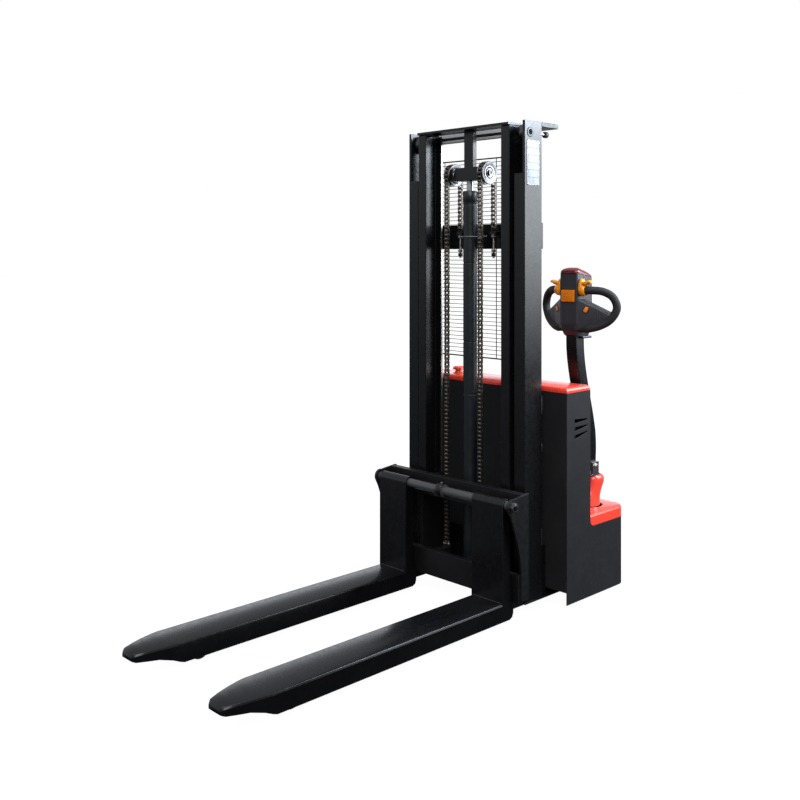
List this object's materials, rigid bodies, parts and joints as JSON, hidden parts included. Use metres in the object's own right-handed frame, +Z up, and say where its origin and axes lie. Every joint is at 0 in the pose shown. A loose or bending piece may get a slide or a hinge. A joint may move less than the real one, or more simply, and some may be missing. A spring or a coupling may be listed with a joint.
{
  "type": "walkie stacker",
  "caption": "Pedestrian lift truck with a two-stage mast, adjustable forks over support legs, offset steering tiller and enclosed drive housing.",
  "frame": {"origin": "middle of the object's bounding box at floor level", "axes": "+Z up, -Y towards the fork tips, +Y towards the operator, +X to the operator's left, where the tiller stands"},
  "size_m": [0.8508, 1.877, 1.85],
  "materials": {
    "black_frame": "satin black powder coat",
    "black_cover": "satin black powder coat on sheet",
    "red_cover": "semi-gloss red moulding",
    "bright_steel": "machined steel",
    "chain_steel": "oiled chain steel",
    "charcoal_casing": "fine-textured charcoal moulding",
    "black_grip": "soft-touch black moulding",
    "amber": "amber moulding",
    "tread": "polyurethane tread",
    "grey_casing": "grey paint",
    "battery_case": "battery case"
  },
  "bodies": {
    "truck": {"base_frame": "black_frame", "leg_left": "black_frame", "leg_right": "black_frame", "outer_rail_left": "black_frame", "outer_rail_right": "black_frame", "outer_top_plate": "black_frame", "mid_crossbeam": "black_frame", "mesh_guard": "black_frame", "lift_cylinder": "black_frame", "front_cover": "black_cover", "side_cover_left": "black_cover", "side_cover_right": "black_cover", "operator_panel": "black_cover", "rear_cover": "black_cover", "top_cover": "red_cover", "deck_cover": "red_cover", "battery_left": "battery_case", "battery_right": "battery_case", "hydraulic_unit": "grey_casing", "motor_controller": "grey_casing"},
    "inner_mast": {"inner_rail_left": "black_frame", "inner_rail_right": "black_frame", "inner_top_frame": "black_frame", "inner_bottom_bar": "black_frame", "piston_rod": "bright_steel", "chain_front_left": "chain_steel", "chain_front_right": "chain_steel", "chain_rear_left": "chain_steel", "chain_rear_right": "chain_steel"},
    "carriage": {"carriage_frame": "black_frame", "fork_shaft": "black_frame"},
    "fork_left": {"fork_left": "black_frame"},
    "fork_right": {"fork_right": "black_frame"},
    "pulley_left": {"pulley_left": "bright_steel"},
    "pulley_right": {"pulley_right": "bright_steel"},
    "mast_roller_left": {"mast_roller_left": "bright_steel"},
    "mast_roller_right": {"mast_roller_right": "bright_steel"},
    "carriage_roller_left": {"carriage_roller_left": "bright_steel"},
    "carriage_roller_right": {"carriage_roller_right": "bright_steel"},
    "load_wheel_left": {"load_wheel_left": "tread"},
    "load_wheel_right": {"load_wheel_right": "tread"},
    "steering": {"drive_gearbox": "grey_casing", "drive_motor": "grey_casing", "steering_fairing": "red_cover", "tiller_bracket": "bright_steel"},
    "drive_wheel": {"drive_wheel": "tread"},
    "tiller": {"tiller_arm": "black_frame", "head_casing": "charcoal_casing", "head_cap": "red_cover", "grip_left": "black_grip", "grip_right": "black_grip"},
    "thumb_lever_left": {"thumb_lever_left": "amber"},
    "thumb_lever_right": {"thumb_lever_right": "amber"},
    "belly_button": {"belly_button": "amber"},
    "lift_button": {"lift_button": "amber"},
    "lower_button": {"lower_button": "amber"},
    "stop_knob": {"stop_knob": "red_cover"},
    "key_switch": {"key_switch": "charcoal_casing"},
    "caster": {"caster_fork": "bright_steel"},
    "caster_wheel": {"caster_wheel": "tread"}
  },
  "joints": [
    {"name": "inner_mast_lift", "type": "slide", "parent": "truck", "child": "inner_mast", "axis": [0, 0, 1], "range_m": [0, 1.25], "deforming": ["chain_rear_left", "chain_rear_right"]},
    {"name": "carriage_lift", "type": "slide", "parent": "inner_mast", "child": "carriage", "axis": [0, 0, 1], "range_m": [0, 1.25], "deforming": ["chain_front_left", "chain_front_right"]},
    {"name": "pulley_spin_left", "type": "hinge", "parent": "inner_mast", "child": "pulley_left", "pos_m": [-0.1284, 0.4155, 1.667], "axis": [1, 0, 0], "continuous": true},
    {"name": "mast_roller_spin_left", "type": "hinge", "parent": "truck", "child": "mast_roller_left", "pos_m": [-0.3144, 0.4285, 1.807], "axis": [1, 0, 0], "continuous": true},
    {"name": "carriage_roller_spin_left", "type": "hinge", "parent": "carriage", "child": "carriage_roller_left", "pos_m": [-0.2519, 0.4165, 0.415], "axis": [1, 0, 0], "continuous": true},
    {"name": "fork_spread_left", "type": "slide", "parent": "carriage", "child": "fork_left", "axis": [1, 0, 0], "range_m": [-0.016, 0.016]},
    {"name": "load_wheel_spin_left", "type": "hinge", "parent": "truck", "child": "load_wheel_left", "pos_m": [-0.2894, -0.6815, 0.039], "axis": [1, 0, 0], "continuous": true},
    {"name": "pulley_spin_right", "type": "hinge", "parent": "inner_mast", "child": "pulley_right", "pos_m": [0.0476, 0.4155, 1.667], "axis": [1, 0, 0], "continuous": true},
    {"name": "mast_roller_spin_right", "type": "hinge", "parent": "truck", "child": "mast_roller_right", "pos_m": [0.2336, 0.4285, 1.807], "axis": [1, 0, 0], "continuous": true},
    {"name": "carriage_roller_spin_right", "type": "hinge", "parent": "carriage", "child": "carriage_roller_right", "pos_m": [0.1711, 0.4165, 0.415], "axis": [1, 0, 0], "continuous": true},
    {"name": "fork_spread_right", "type": "slide", "parent": "carriage", "child": "fork_right", "axis": [1, 0, 0], "range_m": [-0.016, 0.016]},
    {"name": "load_wheel_spin_right", "type": "hinge", "parent": "truck", "child": "load_wheel_right", "pos_m": [0.2086, -0.6815, 0.039], "axis": [1, 0, 0], "continuous": true},
    {"name": "steering_turn", "type": "hinge", "parent": "truck", "child": "steering", "pos_m": [0.2396, 0.8135, 0.2], "axis": [0, 0, 1], "range_deg": [-85, 85]},
    {"name": "drive_wheel_spin", "type": "hinge", "parent": "steering", "child": "drive_wheel", "pos_m": [0.2396, 0.8135, 0.09], "axis": [1, 0, 0], "continuous": true},
    {"name": "tiller_tilt", "type": "hinge", "parent": "steering", "child": "tiller", "pos_m": [0.2396, 0.8135, 0.504], "axis": [1, 0, 0], "range_deg": [-80, 0], "stiffness_Nm_per_rad": 14, "springref_deg": 40.11},
    {"name": "thumb_lever_turn_left", "type": "hinge", "parent": "tiller", "child": "thumb_lever_left", "pos_m": [0.1968, 0.7025, 1.21], "axis": [1, 0, 0], "range_deg": [-25, 25], "stiffness_Nm_per_rad": 0.4},
    {"name": "thumb_lever_turn_right", "type": "hinge", "parent": "tiller", "child": "thumb_lever_right", "pos_m": [0.2824, 0.7025, 1.21], "axis": [1, 0, 0], "range_deg": [-25, 25], "stiffness_Nm_per_rad": 0.4},
    {"name": "belly_button_push", "type": "slide", "parent": "tiller", "child": "belly_button", "axis": [0, 1, 0], "range_m": [0, 0.004], "stiffness_N_per_m": 700},
    {"name": "lift_button_push", "type": "slide", "parent": "tiller", "child": "lift_button", "axis": [0, 1, 0], "range_m": [0, 0.0025], "stiffness_N_per_m": 500},
    {"name": "lower_button_push", "type": "slide", "parent": "tiller", "child": "lower_button", "axis": [0, 1, 0], "range_m": [0, 0.0025], "stiffness_N_per_m": 500},
    {"name": "stop_knob_push", "type": "slide", "parent": "truck", "child": "stop_knob", "axis": [0, 0, -1], "range_m": [0, 0.0045], "stiffness_N_per_m": 1500},
    {"name": "key_turn", "type": "hinge", "parent": "truck", "child": "key_switch", "pos_m": [-0.1304, 0.6778, 0.7], "axis": [0, 1, 0], "range_deg": [0, 90]},
    {"name": "caster_swivel", "type": "hinge", "parent": "truck", "child": "caster", "pos_m": [-0.3104, 0.8135, 0.2217], "axis": [0, 0, 1], "continuous": true},
    {"name": "caster_wheel_spin", "type": "hinge", "parent": "caster", "child": "caster_wheel", "pos_m": [-0.3104, 0.8385, 0.06], "axis": [1, 0, 0], "continuous": true}
  ],
  "couplings": [
    {"joint": "carriage_lift", "follows": "inner_mast_lift", "ratio": 1},
    {"joint": "thumb_lever_turn_right", "follows": "thumb_lever_turn_left", "ratio": 1},
    {"joint": "pulley_spin_left", "follows": "inner_mast_lift", "rad_per_m": -25},
    {"joint": "mast_roller_spin_left", "follows": "inner_mast_lift", "rad_per_m": 27.397},
    {"joint": "carriage_roller_spin_left", "follows": "inner_mast_lift", "rad_per_m": 27.397},
    {"joint": "pulley_spin_right", "follows": "inner_mast_lift", "rad_per_m": -25},
    {"joint": "mast_roller_spin_right", "follows": "inner_mast_lift", "rad_per_m": 27.397},
    {"joint": "carriage_roller_spin_right", "follows": "inner_mast_lift", "rad_per_m": 27.397}
  ]
}
